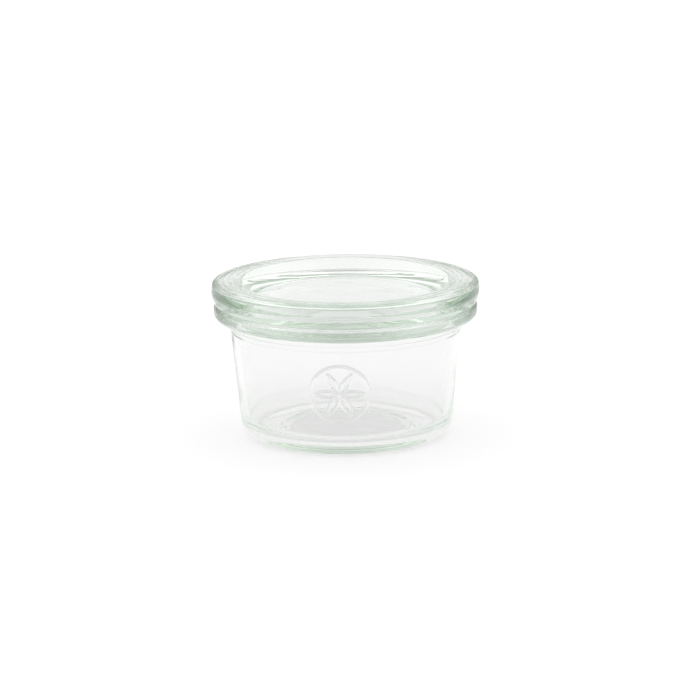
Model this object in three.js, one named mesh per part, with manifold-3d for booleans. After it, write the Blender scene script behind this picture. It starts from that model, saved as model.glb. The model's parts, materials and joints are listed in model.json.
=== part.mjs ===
import * as THREE from 'three';
import { mergeVertices } from 'three/addons/utils/BufferGeometryUtils.js';
import Module from 'manifold-3d';

// A small glass preserving jar with a loose glass lid lying on its rim.
// Millimetres, +Z up. The origin is the centre of the ring that the jar stands on,
// and the side with the raised medallion is the -Y side.

// Driving dimensions of the jar
const PUSH_UP = 0.9;            // height of the shallow hollow under the base
const FOOT_INNER = 17;          // inner radius of the flat ring it stands on
const FOOT_RISE = 2.6;          // width of the slope up into the hollow
const FOOT_CORNER = 4.6;        // radius of the rounded edge between foot and wall
const WALL_TOP_R = 30.45;       // outer radius where the wall meets the rim
const WALL_TOP_Z = 31.3;
const WALL_LEAN = THREE.MathUtils.degToRad(5.5);
const WALL_THICK = 2;           // at the foot of the wall
const FLOOR_Z = 2.8;            // top of the glass floor inside the jar
const INNER_CORNER = 4.5;       // radius where the floor turns up into the wall
const THROAT_R = 28.5;          // the wall's inner side begins under the mouth
const THROAT_Z = 29.6;
const MOUTH_R = 28.4;
const RIM_R = 34.5;
const RIM_Z = 34.7;             // flat top of the rim
const RIM_BOTTOM_Z = 31.85;

// Driving dimensions of the lid
const SEAT_GAP = 0.1;           // clearance between rim and lid
const LID_R = 35.15;
const LID_BULGE_Z = 38.3;       // height where the lid is widest
const CROWN_R = 27.4;           // inner edge of the ring on the top, its highest circle
const CROWN_Z = 41.2;
const CROWN_FALL = 0.5;         // how far the ring drops to its outer edge
const RECESS_R = 23.5;          // foot of the round recess in the top
const RECESS_Z = 36.8;
const PLUG_R = 27.6;            // the part of the lid that drops into the mouth
const PLUG_Z = 31.6;

// Raised ornament on the outside of the wall
const ROOT = 0.8;               // how deep each raised shape starts inside the glass
const MEDAL_PROUD = 0.45;
const MEDAL_Z = 17.2;
const MEDAL_TURN = THREE.MathUtils.degToRad(-3.5);
const MEDAL_R = 7.9;
const MEDAL_LINE = 0.7;
const PETALS = 6;
const PETAL_LENGTH = 5.4;
const PETAL_WIDTH = 2.3;
const PETAL_START = 0.9;

// Rows of round beads and upright bars near the foot of the wall
const ROWS = [
  { turn: -41, z: 7.2, count: 5, pitch: 2, height: 1.1, width: 1.1, proud: 0.3 },
  { turn: 38, z: 7.2, count: 3, pitch: 2, height: 1.1, width: 1.1, proud: 0.3 },
  { turn: 62, z: 7.6, count: 3, pitch: 2, height: 4, width: 0.8, proud: 0.25 },
];
const ROUND_SIDES = 8;          // sides of a bead, and of a bar's two rounded ends together

const SEGMENTS = 64;
const ARC_STEP = 18;            // degrees of turn for each stretch of a rounded corner
const COLOURS = { jar: 0xe4efe8, lid: 0xdcebe2 };

const wasm = await Module();
wasm.setup();

// Outer radius of the sloping wall at a height.
function wallRadius(z) {
  return WALL_TOP_R - (WALL_TOP_Z - z) * Math.tan(WALL_LEAN);
}

// The points that round one corner between its neighbours with an arc of the given radius.
function roundedCorner([r0, z0], [r1, z1, radius], [r2, z2]) {
  const corner = new THREE.Vector2(r1, z1);
  const back = new THREE.Vector2(r0 - r1, z0 - z1).normalize();
  const ahead = new THREE.Vector2(r2 - r1, z2 - z1).normalize();
  const half = Math.acos(THREE.MathUtils.clamp(back.dot(ahead), -1, 1)) / 2;
  const isStraight = Math.cos(half) < 1e-3;
  if (!radius || isStraight) return [corner];
  const middle = back.clone().add(ahead).normalize();
  const centre = corner.clone().addScaledVector(middle, radius / Math.sin(half));
  const spoke = corner.clone().addScaledVector(back, radius / Math.tan(half)).sub(centre);
  const side = Math.sign(back.y * ahead.x - back.x * ahead.y);
  const turn = side * (Math.PI - 2 * half);
  const steps = Math.max(2, Math.ceil(THREE.MathUtils.radToDeg(Math.abs(turn)) / ARC_STEP));
  const points = [];
  for (let i = 0; i <= steps; i += 1) {
    points.push(spoke.clone().rotateAround(new THREE.Vector2(), (turn * i) / steps).add(centre));
  }
  return points;
}

// An outline from corners [r, z, radius of the rounding].
function outline(corners) {
  const points = [new THREE.Vector2(...corners[0])];
  for (let i = 1; i < corners.length - 1; i += 1) {
    points.push(...roundedCorner(corners[i - 1], corners[i], corners[i + 1]));
  }
  points.push(new THREE.Vector2(...corners[corners.length - 1]));
  return points;
}

// The jar's outline, from the middle of the underside out, up and back down inside.
function jarOutline() {
  return outline([
    [0, PUSH_UP],
    [FOOT_INNER - FOOT_RISE, PUSH_UP, 3],
    [FOOT_INNER, 0, 3],
    [wallRadius(0), 0, FOOT_CORNER],
    [WALL_TOP_R, WALL_TOP_Z, 0.6],
    [RIM_R, RIM_BOTTOM_Z, 1.4],
    [RIM_R, RIM_Z, 0.35],
    [MOUTH_R, RIM_Z, 1.5],
    [THROAT_R, THROAT_Z, 1],
    [wallRadius(FLOOR_Z) - WALL_THICK, FLOOR_Z, INNER_CORNER],
    [0, FLOOR_Z],
  ]);
}

// The lid's outline, from the middle of the plug's underside out, up and over the top.
function lidOutline() {
  const seatZ = RIM_Z + SEAT_GAP;
  return outline([
    [0, PLUG_Z],
    [PLUG_R - 0.05, PLUG_Z, 0.55],
    [PLUG_R, seatZ, 0.35],
    [LID_R - 1.1, seatZ, 1.5],
    [LID_R, LID_BULGE_Z, 3],
    [LID_R - 0.25, CROWN_Z - CROWN_FALL, 0.55],
    [(CROWN_R + LID_R) / 2, CROWN_Z - 0.2 * CROWN_FALL, 6],
    [CROWN_R, CROWN_Z, 1.6],
    [RECESS_R, RECESS_Z, 0.6],
    [0, RECESS_Z],
  ]);
}

// A turned solid about the Z axis.
function turned(profile) {
  const geometry = new THREE.LatheGeometry(profile, SEGMENTS);
  geometry.rotateX(Math.PI / 2);
  return geometry;
}

// Lays a flat extruded shape on the wall: x runs round the jar, y up, z outwards.
function wrapOnWall(geometry, turn, height) {
  const position = geometry.attributes.position;
  const around = wallRadius(height);
  for (let i = 0; i < position.count; i += 1) {
    const angle = turn + position.getX(i) / around;
    const z = height + position.getY(i);
    const r = wallRadius(z) + position.getZ(i);
    position.setXYZ(i, r * Math.sin(angle), -r * Math.cos(angle), z);
  }
  return geometry;
}

// A shape standing proud of the wall at a turn and a height.
function raised(shape, turn, height, proud, curveSegments = 12) {
  const depth = ROOT + proud;
  const geometry = new THREE.ExtrudeGeometry(shape, { depth, bevelEnabled: false, curveSegments });
  geometry.translate(0, 0, -ROOT);
  return wrapOnWall(geometry, turn, height);
}

// The plain ring round the medallion.
function medalRing() {
  const shape = new THREE.Shape();
  shape.absarc(0, 0, MEDAL_R, 0, Math.PI * 2, false);
  const hole = new THREE.Path();
  hole.absarc(0, 0, MEDAL_R - MEDAL_LINE, 0, Math.PI * 2, true);
  shape.holes.push(hole);
  return raised(shape, MEDAL_TURN, MEDAL_Z, MEDAL_PROUD, 40);
}

// One pointed petal of the rosette, pointing away from its middle.
function medalPetal(index) {
  const shape = new THREE.Shape();
  const tip = PETAL_START + PETAL_LENGTH;
  const middle = PETAL_START + PETAL_LENGTH / 2;
  shape.moveTo(0, PETAL_START);
  shape.quadraticCurveTo(PETAL_WIDTH, middle, 0, tip);
  shape.quadraticCurveTo(-PETAL_WIDTH, middle, 0, PETAL_START);
  const turn = ((index + 0.5) * Math.PI * 2) / PETALS;
  const points = shape.getPoints(6).map((p) => p.rotateAround(new THREE.Vector2(), turn));
  return raised(new THREE.Shape(points), MEDAL_TURN, MEDAL_Z, MEDAL_PROUD);
}

// One bead or bar of a row: a bar is a bead drawn out between its rounded ends.
function mark(row, index) {
  const x = (index - (row.count - 1) / 2) * row.pitch;
  const radius = row.width / 2;
  const reach = (row.height - row.width) / 2;
  const points = [];
  for (let i = 0; i < ROUND_SIDES; i += 1) {
    const angle = ((i + 0.5) * Math.PI * 2) / ROUND_SIDES;
    const y = radius * Math.sin(angle) + reach * Math.sign(Math.sin(angle));
    points.push(new THREE.Vector2(x + radius * Math.cos(angle), y));
  }
  return raised(new THREE.Shape(points), THREE.MathUtils.degToRad(row.turn), row.z, row.proud);
}

// A closed three.js geometry as a solid that can be joined.
function toSolid(geometry) {
  geometry.deleteAttribute('normal');
  geometry.deleteAttribute('uv');
  const merged = mergeVertices(geometry, 1e-4);
  const index = merged.index.array;
  const triangles = [];
  for (let i = 0; i < index.length; i += 3) {
    const [a, b, c] = [index[i], index[i + 1], index[i + 2]];
    if (a !== b && b !== c && c !== a) triangles.push(a, b, c);
  }
  const vertProperties = new Float32Array(merged.attributes.position.array);
  const triVerts = new Uint32Array(triangles);
  return new wasm.Manifold(new wasm.Mesh({ numProp: 3, vertProperties, triVerts }));
}

function toGeometry(solid) {
  const mesh = solid.getMesh();
  const geometry = new THREE.BufferGeometry();
  geometry.setAttribute('position', new THREE.BufferAttribute(mesh.vertProperties, 3));
  geometry.setIndex(new THREE.BufferAttribute(mesh.triVerts, 1));
  geometry.computeVertexNormals();
  return geometry;
}

function jarGeometry() {
  let solid = toSolid(turned(jarOutline()));
  solid = solid.add(toSolid(medalRing()));
  for (let i = 0; i < PETALS; i += 1) solid = solid.add(toSolid(medalPetal(i)));
  for (const row of ROWS) {
    for (let i = 0; i < row.count; i += 1) solid = solid.add(toSolid(mark(row, i)));
  }
  return toGeometry(solid);
}

function glass(colour) {
  return new THREE.MeshStandardMaterial({ color: colour, roughness: 0.06, metalness: 0 });
}

function piece(name, geometry, colour) {
  const mesh = new THREE.Mesh(geometry, glass(colour));
  mesh.name = name;
  return mesh;
}

const group = new THREE.Group();
group.add(piece('jar', jarGeometry(), COLOURS.jar));
group.add(piece('lid', turned(lidOutline()), COLOURS.lid));

export default group;
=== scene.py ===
import json
import math

import bpy
import numpy as np
from mathutils import Matrix, Vector


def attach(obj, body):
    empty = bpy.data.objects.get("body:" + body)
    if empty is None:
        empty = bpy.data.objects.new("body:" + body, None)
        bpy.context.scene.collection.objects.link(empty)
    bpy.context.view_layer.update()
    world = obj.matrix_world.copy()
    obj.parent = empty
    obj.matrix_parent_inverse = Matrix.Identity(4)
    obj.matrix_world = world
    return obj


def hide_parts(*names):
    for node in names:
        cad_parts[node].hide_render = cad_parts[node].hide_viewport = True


# A small glass preserving jar with a loose glass lid, in a bright white studio.
# Metres, +Z up. The jar stands on the floor with its raised medallion facing -Y.
# The outlines are in millimetres, close to those of the solids they stand for. How the glass is shaped
# inside, and the light, were chosen until the picture came near the photograph: nothing was measured.

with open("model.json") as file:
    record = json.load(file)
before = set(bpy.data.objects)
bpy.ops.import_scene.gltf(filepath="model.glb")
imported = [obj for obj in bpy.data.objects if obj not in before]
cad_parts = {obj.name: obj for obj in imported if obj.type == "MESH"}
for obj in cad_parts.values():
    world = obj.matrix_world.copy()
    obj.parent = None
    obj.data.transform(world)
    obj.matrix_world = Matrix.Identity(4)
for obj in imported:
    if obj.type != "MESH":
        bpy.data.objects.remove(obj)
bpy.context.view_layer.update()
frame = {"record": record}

# The material slot of each node of the part
SLOTS = {part["node"]: part["material_slot"] for part in frame["record"]["subparts"]}

MM = 0.001

# Sizes of the jar, in millimetres
PUSH_UP = 0.9
FOOT_INNER = 17.0
FOOT_RISE = 2.6
FOOT_CORNER = 4.6
WALL_TOP_R = 30.45
WALL_TOP_Z = 31.3
WALL_LEAN = math.radians(5.5)
WALL_THICK = 2.0
FLOOR_Z = 2.8
INNER_CORNER = 4.5
THROAT_R = 28.5
THROAT_Z = 29.6
MOUTH_R = 28.4
RIM_R = 34.5
RIM_Z = 34.7
RIM_BOTTOM_Z = 31.85

# Sizes of the lid, in millimetres
SEAT_Z = RIM_Z + 0.1
LID_R = 35.12
LID_BULGE_Z = 38.3
CROWN_R = 27.4
CROWN_Z = 41.2
CROWN_FALL = 0.5
RECESS_R = 23.5
RECESS_Z = 36.8
CROWN_MIDDLE_R = 31.5
PLUG_R = 27.6
PLUG_Z = 31.6

# Raised ornament on the wall, in millimetres and degrees round from the -Y side: a medallion,
# and rows of round beads near the foot
PROUD = 0.45
MEDAL_TURN = -3.5
MEDAL_Z = 17.2
MEDAL_R = 7.6
MEDAL_LINE = 0.8
ROSETTE_R = 6.3
ROSETTE_LINE = 0.65
PETALS = 6
BEAD_ROWS = ({"turn": -41.0, "count": 5}, {"turn": 38.0, "count": 3})
BEAD_Z = 7.2
BEAD_PITCH = 2.0
BEAD_WIDTH = 1.1
BEAD_PROUD = 0.3

# Faint ridges that the mould left round the neck, and grooves in the lid's ring
NECK_RIDGES = (28.3, 30.0)
NECK_RIDGE = {"proud": 0.12, "width": 0.8}
CROWN_GROOVES = (29.2, 30.7, 32.2, 33.5)
CROWN_GROOVE = {"deep": 0.05, "width": 0.7}

# Unevenness of the blown inside: (waves round the jar, length up it, how deep), in millimetres
INNER_WAVES = ((2, 60.0, 0.05), (3, 31.0, 0.035), (7, 17.0, 0.018), (11, 9.5, 0.010))

# A point this near the outer wall belongs to it, in millimetres
SKIN = 0.3

# Longest stretches of the outlines, in millimetres, and steps round the axis, in degrees
PLAIN_STRETCH = 1.5
MEDAL_STRETCH = 0.2
NECK_STRETCH = 0.15
BEAD_STRETCH = 0.3
CROWN_STRETCH = 0.1
JAR_STEP = 2.8
LID_STEP = 1.5
MEDAL_STEP = 0.33
BEAD_STEP = 0.5

# The photograph's camera
VIEW_TARGET = (0.0, 0.0, 0.021)
VIEW_DISTANCE = 1.0
VIEW_ELEVATION = math.radians(13.226)
VIEW_ROLL = math.radians(0.634)
SENSOR = 36.0
FOCAL_PIXELS = 3808.1
FRAME_PIXELS = 700
TARGET_PIXEL = (346.07, 354.38)

# Studio light: the floor glows like a light table, and the sky is (sine of height, level) stops
FLOOR_GLOW = 0.66
FLOOR_WHITE = 0.35
SKY_BEHIND = ((0.0, 0.5), (0.2, 0.9), (0.45, 0.92), (0.7, 1.2), (1.0, 0.7))
SKY_BEFORE = ((0.0, 1.0), (0.3, 0.25), (0.6, 1.2), (0.8, 1.25), (1.0, 0.5))

# The panels at the sides are brighter than the middle of the backdrop
SIDE_FROM = 0.1
SIDE_TO = 0.4
SIDE_LEVEL = 1.2

# Light runs a long way inside the lid, turned back at each face
GLASS_BOUNCES = 32

# What passes through the surface, and how fast the inside takes up red, green and blue, per metre
GLASS_CLEAR = 0.95
GLASS_ABSORBS = (6.0, 4.0, 6.0)
GLASS_DENSITY = 10.0


def wall_radius(z):
    """Outer radius of the leaning wall at a height."""
    return WALL_TOP_R - (WALL_TOP_Z - z) * math.tan(WALL_LEAN)


def rounded(corners, turn_step=6.0):
    """A profile from corners (r, z, fillet), each rounded by an arc of its fillet radius."""
    points = [corners[0][:2]]
    for before, corner, after in zip(corners, corners[1:], corners[2:]):
        b = np.array(corner[:2])
        u = np.array(before[:2]) - b
        v = np.array(after[:2]) - b
        u, v = u / np.linalg.norm(u), v / np.linalg.norm(v)
        half = math.acos(max(-1.0, min(1.0, float(u @ v)))) / 2
        radius = corner[2]
        if radius == 0 or half > math.radians(89.9):
            points.append(tuple(b))
            continue
        reach = radius / math.tan(half)
        middle = (u + v) / np.linalg.norm(u + v)
        centre = b + middle * radius / math.sin(half)
        start, end = b + u * reach - centre, b + v * reach - centre
        turn = math.atan2(start[0] * end[1] - start[1] * end[0], start @ end)
        steps = max(2, math.ceil(abs(math.degrees(turn)) / turn_step))
        for i in range(steps + 1):
            a = turn * i / steps
            points.append(
                (
                    centre[0] + start[0] * math.cos(a) - start[1] * math.sin(a),
                    centre[1] + start[0] * math.sin(a) + start[1] * math.cos(a),
                )
            )
    points.append(corners[-1][:2])
    return points


def subdivided(points, longest):
    """The same profile with no stretch longer than longest(r, z) allows."""
    out = [points[0]]
    for a, b in zip(points, points[1:]):
        middle = ((a[0] + b[0]) / 2, (a[1] + b[1]) / 2)
        steps = max(1, math.ceil(math.dist(a, b) / longest(*middle)))
        for i in range(1, steps + 1):
            t = i / steps
            out.append((a[0] + (b[0] - a[0]) * t, a[1] + (b[1] - a[1]) * t))
    return out


def jar_profile():
    """From the middle of the underside out, up the wall, over the rim and down inside."""
    corners = [
        (0, PUSH_UP, 0),
        (FOOT_INNER - FOOT_RISE, PUSH_UP, 3.0),
        (FOOT_INNER, 0, 3.0),
        (wall_radius(0), 0, FOOT_CORNER),
        (WALL_TOP_R, WALL_TOP_Z, 0.6),
        (RIM_R, RIM_BOTTOM_Z, 1.4),
        (RIM_R, RIM_Z, 0.35),
        (MOUTH_R, RIM_Z, 1.5),
        (THROAT_R, THROAT_Z, 1.0),
        (wall_radius(FLOOR_Z) - WALL_THICK, FLOOR_Z, INNER_CORNER),
        (0, FLOOR_Z, 0),
    ]
    return rounded(corners)


def lid_profile():
    """From the middle of the plug's underside out, up the side and down into the recess."""
    corners = [
        (0, PLUG_Z, 0),
        (PLUG_R - 0.05, PLUG_Z, 0.55),
        (PLUG_R, SEAT_Z, 0.35),
        (LID_R - 1.1, SEAT_Z, 1.5),
        (LID_R, LID_BULGE_Z, 3.0),
        (LID_R - 0.25, CROWN_Z - CROWN_FALL, 0.55),
        (CROWN_MIDDLE_R, CROWN_Z - 0.2 * CROWN_FALL, 6.0),
        (CROWN_R, CROWN_Z, 1.6),
        (RECESS_R, RECESS_Z, 0.6),
        (0, RECESS_Z, 0),
    ]
    return rounded(corners)


def bump(distance, width):
    """A smooth raised line: 1 on the line, 0 beyond half its width."""
    x = np.clip(np.abs(distance) / (width / 2), 0, 1)
    return (1 + np.cos(np.pi * x)) / 2


def medallion(around, up):
    """A ring with a compass-drawn six-petal rosette, on flat coordinates from its middle."""
    from_middle = np.hypot(around, up)
    height = bump(from_middle - MEDAL_R, MEDAL_LINE)
    inside = np.clip((ROSETTE_R + 0.2 - from_middle) / 0.4, 0, 1)
    for k in range(PETALS):
        a = 2 * math.pi * k / PETALS
        arc = np.hypot(around - ROSETTE_R * math.cos(a), up - ROSETTE_R * math.sin(a))
        height = np.maximum(height, bump(arc - ROSETTE_R, ROSETTE_LINE) * inside)
    return height


def beads(around, up, count):
    """Raised round beads side by side."""
    height = np.zeros_like(around)
    for i in range(count):
        x = (i - (count - 1) / 2) * BEAD_PITCH
        height = np.maximum(height, bump(np.hypot(around - x, up), BEAD_WIDTH))
    return height


def relief(turn, z):
    """Height of the raised ornament, in millimetres; turn is in degrees from the -Y side."""
    per_degree = math.radians(1) * wall_radius(MEDAL_Z)
    height = PROUD * medallion((turn - MEDAL_TURN) * per_degree, z - MEDAL_Z)
    per_degree = math.radians(1) * wall_radius(BEAD_Z)
    for row in BEAD_ROWS:
        flat = beads((turn - row["turn"]) * per_degree, z - BEAD_Z, row["count"])
        height = np.maximum(height, BEAD_PROUD * flat)
    return height


def unevenness(turn, z):
    """Slow waves of the inner wall, which no mould shaped."""
    depth = np.zeros(np.broadcast(turn, z).shape)
    for k, (count, length, deep) in enumerate(INNER_WAVES):
        around = np.sin(np.radians(turn) * count + 1.7 * k)
        depth = depth + deep * around * np.cos(2 * math.pi * z / length + 0.9 * k)
    return depth


def angles(fine, coarse_step):
    """Turns in degrees from -180 to 180, with each fine (start, end, step) stretch stepped closer."""
    out = []
    at = -180.0
    for start, end, step in sorted(fine):
        out.extend(np.linspace(at, start, max(2, math.ceil((start - at) / coarse_step) + 1))[:-1])
        out.extend(np.linspace(start, end, math.ceil((end - start) / step) + 1)[:-1])
        at = end
    out.extend(np.linspace(at, 180.0, max(2, math.ceil((180.0 - at) / coarse_step) + 1))[:-1])
    return np.array(out)


def turned(name, profile, turns, shift=None):
    """A closed smooth mesh turned about the Z axis; shift(turn, r, z) moves its points outwards."""
    rings = np.array(profile[1:-1])
    a = np.radians(turns) - math.pi / 2
    r = np.repeat(rings[:, :1], len(turns), axis=1)
    z = np.repeat(rings[:, 1:], len(turns), axis=1)
    if shift is not None:
        r = r + shift(turns[None, :], r, z)
    grid = np.stack([r * np.cos(a), r * np.sin(a), z], axis=-1).reshape(-1, 3)
    ends = np.array([[0, 0, profile[0][1]], [0, 0, profile[-1][1]]])
    points = np.concatenate([grid, ends]) * MM
    n, m = len(rings), len(turns)
    j = np.arange(m)
    k = (j + 1) % m
    faces = []
    for i in range(n - 1):
        faces.extend(np.stack([i * m + j, i * m + k, (i + 1) * m + k, (i + 1) * m + j], axis=-1).tolist())
    faces.extend(np.stack([np.full(m, n * m), k, j], axis=-1).tolist())
    last = (n - 1) * m
    faces.extend(np.stack([np.full(m, n * m + 1), last + j, last + k], axis=-1).tolist())
    mesh = bpy.data.meshes.new(name)
    mesh.from_pydata(points.tolist(), [], faces)
    mesh.polygons.foreach_set("use_smooth", [True] * len(mesh.polygons))
    mesh.update()
    piece = bpy.data.objects.new(name, mesh)
    bpy.context.scene.collection.objects.link(piece)
    return piece


def jar_shift(turn, r, z):
    """The ornament on the outer wall and the slight unevenness of the inner one."""
    outside = wall_radius(z)
    on_wall = (r > outside - SKIN) & (z > FOOT_CORNER) & (z < WALL_TOP_Z - 0.6)
    on_inside = (r < outside - 1.2) & (z > FLOOR_Z + 0.5)
    fade = np.clip((THROAT_Z - z) / 4, 0, 1) * np.clip((z - FLOOR_Z - 0.5) / 4, 0, 1)
    raised = np.where(on_wall, relief(turn + 0 * z, z), 0.0)
    return raised + np.where(on_inside, unevenness(turn, z) * fade, 0.0)


def on_neck(r, z):
    """How far the neck's ridges push the wall out."""
    if r < wall_radius(z) - SKIN:
        return 0.0
    return sum(NECK_RIDGE["proud"] * float(bump(z - at, NECK_RIDGE["width"])) for at in NECK_RIDGES)


def on_crown(r, z):
    """How far the crown's grooves cut the top of the lid down."""
    if z < CROWN_Z - 2 * CROWN_FALL:
        return 0.0
    return -sum(CROWN_GROOVE["deep"] * float(bump(r - at, CROWN_GROOVE["width"])) for at in CROWN_GROOVES)


def make_jar():
    def longest(r, z):
        outer = r > wall_radius(z) - SKIN
        if outer and abs(z - MEDAL_Z) < MEDAL_R + 1:
            return MEDAL_STRETCH
        if outer and NECK_RIDGES[0] - 1 < z < NECK_RIDGES[-1] + 1:
            return NECK_STRETCH
        if outer and FOOT_CORNER < z < 10:
            return BEAD_STRETCH
        return PLAIN_STRETCH

    fine = [(MEDAL_TURN - 17, MEDAL_TURN + 17, MEDAL_STEP)]
    for row in BEAD_ROWS:
        half = math.degrees((row["count"] * BEAD_PITCH / 2 + 0.4) / wall_radius(BEAD_Z))
        fine.append((row["turn"] - half, row["turn"] + half, BEAD_STEP))
    profile = [(r + on_neck(r, z), z) for r, z in subdivided(jar_profile(), longest)]
    return turned("jar_glass", profile, angles(fine, JAR_STEP), jar_shift)


def make_lid():
    def longest(r, z):
        on_ring = z > CROWN_Z - 2 * CROWN_FALL and r > CROWN_R
        return CROWN_STRETCH if on_ring else PLAIN_STRETCH

    profile = [(r, z + on_crown(r, z)) for r, z in subdivided(lid_profile(), longest)]
    return turned("lid_glass", profile, angles([], LID_STEP))


def glass(name):
    """Clear soda-lime glass: faint surface waves, a touch of uneven polish and a tint inside."""
    material = bpy.data.materials.new(name)
    material.use_nodes = True
    nodes, links = material.node_tree.nodes, material.node_tree.links
    shader = nodes["Principled BSDF"]
    shader.inputs["Base Color"].default_value = (GLASS_CLEAR, GLASS_CLEAR, GLASS_CLEAR, 1)
    shader.inputs["Transmission Weight"].default_value = 1.0
    shader.inputs["IOR"].default_value = 1.52
    place = nodes.new("ShaderNodeTexCoord")
    polish = nodes.new("ShaderNodeTexNoise")
    polish.inputs["Scale"].default_value = 60.0
    rough = nodes.new("ShaderNodeMapRange")
    rough.inputs["To Min"].default_value = 0.0
    rough.inputs["To Max"].default_value = 0.03
    links.new(place.outputs["Object"], polish.inputs["Vector"])
    links.new(polish.outputs["Fac"], rough.inputs["Value"])
    links.new(rough.outputs["Result"], shader.inputs["Roughness"])
    waves = nodes.new("ShaderNodeTexNoise")
    waves.inputs["Scale"].default_value = 90.0
    waves.inputs["Detail"].default_value = 1.0
    raise_it = nodes.new("ShaderNodeBump")
    raise_it.inputs["Strength"].default_value = 0.25
    raise_it.inputs["Distance"].default_value = 0.0003
    links.new(place.outputs["Object"], waves.inputs["Vector"])
    links.new(waves.outputs["Fac"], raise_it.inputs["Height"])
    links.new(raise_it.outputs["Normal"], shader.inputs["Normal"])
    inside = nodes.new("ShaderNodeVolumeAbsorption")
    tint = [1 - amount / GLASS_DENSITY for amount in GLASS_ABSORBS]
    inside.inputs["Color"].default_value = (*tint, 1)
    inside.inputs["Density"].default_value = GLASS_DENSITY
    links.new(inside.outputs["Volume"], nodes["Material Output"].inputs["Volume"])
    return material


def make_floor():
    mesh = bpy.data.meshes.new("floor")
    corner = 3.0
    points = [(-corner, -corner, 0), (corner, -corner, 0), (corner, corner, 0), (-corner, corner, 0)]
    mesh.from_pydata(points, [], [(0, 1, 2, 3)])
    floor = bpy.data.objects.new("floor", mesh)
    bpy.context.scene.collection.objects.link(floor)
    material = bpy.data.materials.new("floor_white")
    material.use_nodes = True
    shader = material.node_tree.nodes["Principled BSDF"]
    shader.inputs["Base Color"].default_value = (FLOOR_WHITE, FLOOR_WHITE, FLOOR_WHITE, 1)
    shader.inputs["Roughness"].default_value = 0.9
    shader.inputs["Emission Color"].default_value = (1, 1, 1, 1)
    shader.inputs["Emission Strength"].default_value = FLOOR_GLOW
    mesh.materials.append(material)
    return floor


def ramp(nodes, stops):
    """A grey ramp with (position, level) stops."""
    node = nodes.new("ShaderNodeValToRGB")
    node.color_ramp.interpolation = "EASE"
    points = node.color_ramp.elements
    while len(points) < len(stops):
        points.new(0.5)
    for point, (position, level) in zip(points, stops):
        point.position = position
        point.color = (level, level, level, 1)
    return node


def smooth_step(nodes, start, end):
    """A smooth change from 0 to 1 between two values."""
    node = nodes.new("ShaderNodeMapRange")
    node.interpolation_type = "SMOOTHSTEP"
    node.inputs["From Min"].default_value = start
    node.inputs["From Max"].default_value = end
    return node


def make_world():
    """Light by direction, over the sine of the height: one ramp behind the jar, one in front."""
    world = bpy.data.worlds.new("studio")
    bpy.context.scene.world = world
    world.use_nodes = True
    nodes, links = world.node_tree.nodes, world.node_tree.links
    direction = nodes.new("ShaderNodeTexCoord")
    split = nodes.new("ShaderNodeSeparateXYZ")
    links.new(direction.outputs["Generated"], split.inputs["Vector"])
    behind = ramp(nodes, SKY_BEHIND)
    before = ramp(nodes, SKY_BEFORE)
    for sky in (behind, before):
        links.new(split.outputs["Z"], sky.inputs["Fac"])
    turn = smooth_step(nodes, -0.5, 0.5)
    links.new(split.outputs["Y"], turn.inputs["Value"])
    blend = nodes.new("ShaderNodeMix")
    blend.data_type = "RGBA"
    links.new(turn.outputs["Result"], blend.inputs["Factor"])
    links.new(before.outputs["Color"], blend.inputs[6])
    links.new(behind.outputs["Color"], blend.inputs[7])
    sideways = nodes.new("ShaderNodeMath")
    sideways.operation = "ABSOLUTE"
    links.new(split.outputs["X"], sideways.inputs[0])
    side = smooth_step(nodes, SIDE_FROM, SIDE_TO)
    side.inputs["To Min"].default_value = 1.0
    side.inputs["To Max"].default_value = SIDE_LEVEL
    links.new(sideways.outputs["Value"], side.inputs["Value"])
    background = nodes["Background"]
    links.new(blend.outputs[2], background.inputs["Color"])
    links.new(side.outputs["Result"], background.inputs["Strength"])


def make_camera():
    data = bpy.data.cameras.new("camera")
    data.sensor_width = SENSOR
    data.lens = FOCAL_PIXELS / FRAME_PIXELS * SENSOR
    data.shift_x = (FRAME_PIXELS / 2 - TARGET_PIXEL[0]) / FRAME_PIXELS
    data.shift_y = (TARGET_PIXEL[1] - FRAME_PIXELS / 2) / FRAME_PIXELS
    camera = bpy.data.objects.new("camera", data)
    bpy.context.scene.collection.objects.link(camera)
    place = Vector(VIEW_TARGET) + VIEW_DISTANCE * Vector(
        (0, -math.cos(VIEW_ELEVATION), math.sin(VIEW_ELEVATION))
    )
    look_down = Matrix.Rotation(math.pi / 2 - VIEW_ELEVATION, 4, "X")
    roll = Matrix.Rotation(-VIEW_ROLL, 4, "Z")
    camera.matrix_world = Matrix.Translation(place) @ look_down @ roll
    bpy.context.scene.camera = camera


def dress(piece, node):
    """The piece stands for a node, rides where it does and takes its material slot."""
    slot = SLOTS[node]
    piece.data.materials.append(glass(slot))
    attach(piece, "root")
    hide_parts(node)


make_camera()
make_world()
make_floor()
dress(make_jar(), "jar")
dress(make_lid(), "lid")

bpy.context.scene.view_settings.view_transform = "Standard"
cycles = bpy.context.scene.cycles
cycles.max_bounces = GLASS_BOUNCES
cycles.transmission_bounces = GLASS_BOUNCES
cycles.glossy_bounces = GLASS_BOUNCES
